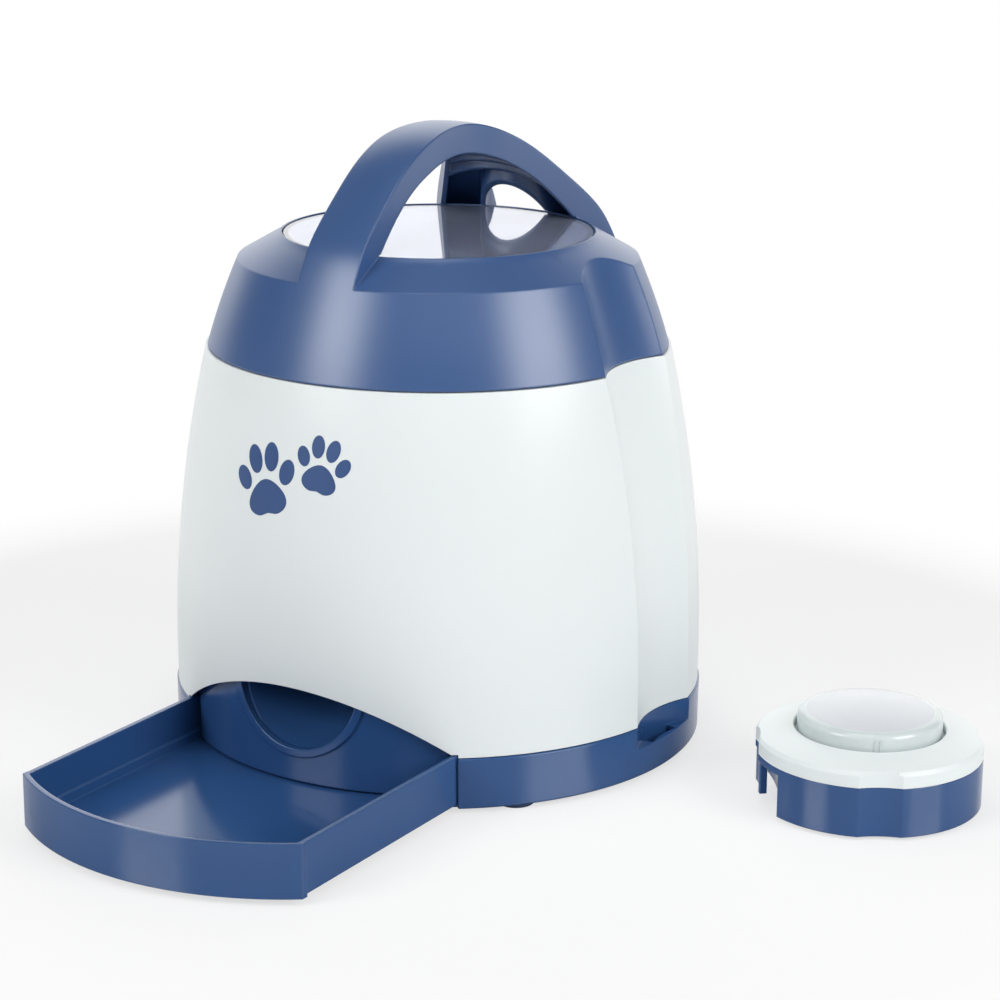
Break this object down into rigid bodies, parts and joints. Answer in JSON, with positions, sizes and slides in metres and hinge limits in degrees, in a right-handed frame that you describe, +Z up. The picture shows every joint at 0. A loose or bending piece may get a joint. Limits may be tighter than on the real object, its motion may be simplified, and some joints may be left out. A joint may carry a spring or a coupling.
{
  "type": "treat dispenser with remote",
  "caption": "Round treat dispenser with a carry-handle lid, pull-out treat drawer, motor-driven portion wheel and a separate push-button remote that hooks into the base.",
  "frame": {"origin": "on the standing plane under the rubber feet, on the dispenser's upright axis", "axes": "+Z up out of the standing plane; the drawer opens towards -Y; the docking hollow and the remote are on the +X side"},
  "size_m": [0.3652, 0.3407, 0.267],
  "materials": {
    "blue_shell": "satin, fine texture",
    "blue_base": "semi-gloss",
    "white_shell": "semi-gloss",
    "clear_window": "clear, glossy",
    "silicone": "matt",
    "grey_plastic": "satin",
    "dark_plastic": "satin",
    "acetal": "satin",
    "steel": "plated",
    "cell_jacket": "printed jacket",
    "circuit_board": "solder mask",
    "rubber_foot": "matt",
    "frosted_dome": "translucent, prismatic",
    "lamp_lens": "clear lens"
  },
  "bodies": {
    "dispenser": {"base_housing": "blue_base", "body_shell": "white_shell", "food_hopper": "grey_plastic", "hopper_baffle": "grey_plastic", "gearbox_case": "dark_plastic", "motor_can": "steel", "mechanism_deck": "grey_plastic", "guard_wall": "blue_base", "drop_chute": "blue_base", "rubber_feet": "rubber_foot", "base_screws": "steel", "battery_cells": "cell_jacket", "battery_contacts": "steel", "battery_door": "blue_base", "door_screw": "steel", "power_switch": "dark_plastic", "control_board": "circuit_board", "speaker": "dark_plastic"},
    "drawer": {"treat_drawer": "blue_base"},
    "lid": {"lid": "blue_shell", "lid_window": "clear_window", "lid_seal": "silicone"},
    "wheel": {"portion_wheel": "acetal", "wheel_shaft": "steel", "drive_gear": "acetal"},
    "pinion": {"drive_pinion": "steel"},
    "power_slider": {"power_slider": "dark_plastic"},
    "remote": {"remote_base": "blue_base", "remote_ring": "white_shell", "remote_board": "circuit_board", "remote_lamp": "lamp_lens", "remote_cells": "cell_jacket", "remote_contacts": "steel", "remote_door": "blue_base", "remote_screws": "steel", "remote_feet": "rubber_foot", "return_pad": "silicone"},
    "button": {"remote_button": "frosted_dome"}
  },
  "joints": [
    {"name": "drawer_slide", "type": "slide", "parent": "dispenser", "child": "drawer", "axis": [0, 1, 0], "range_m": [0, 0.109]},
    {"name": "lid_lift", "type": "slide", "parent": "dispenser", "child": "lid", "axis": [0, 0, 1], "range_m": [0, 0.08]},
    {"name": "wheel_spin", "type": "hinge", "parent": "dispenser", "child": "wheel", "pos_m": [0, 0, 0.098], "axis": [0, 0, 1], "continuous": true},
    {"name": "pinion_spin", "type": "hinge", "parent": "dispenser", "child": "pinion", "pos_m": [0, 0.02615, 0.08], "axis": [0, 0, 1], "continuous": true},
    {"name": "power_slide", "type": "slide", "parent": "dispenser", "child": "power_slider", "axis": [1, 0, 0], "range_m": [-0.004, 0.004]},
    {"name": "remote_lift", "type": "slide", "parent": "dispenser", "child": "remote", "axis": [0, 0, 1], "range_m": [0, 0.06]},
    {"name": "button_press", "type": "slide", "parent": "remote", "child": "button", "axis": [0, 0, -1], "range_m": [0, 0.0025], "stiffness_N_per_m": 1200, "springref_m": -0.0008, "deforming": ["return_pad"]}
  ],
  "couplings": [
    {"joint": "pinion_spin", "follows": "wheel_spin", "ratio": -3.3333}
  ]
}
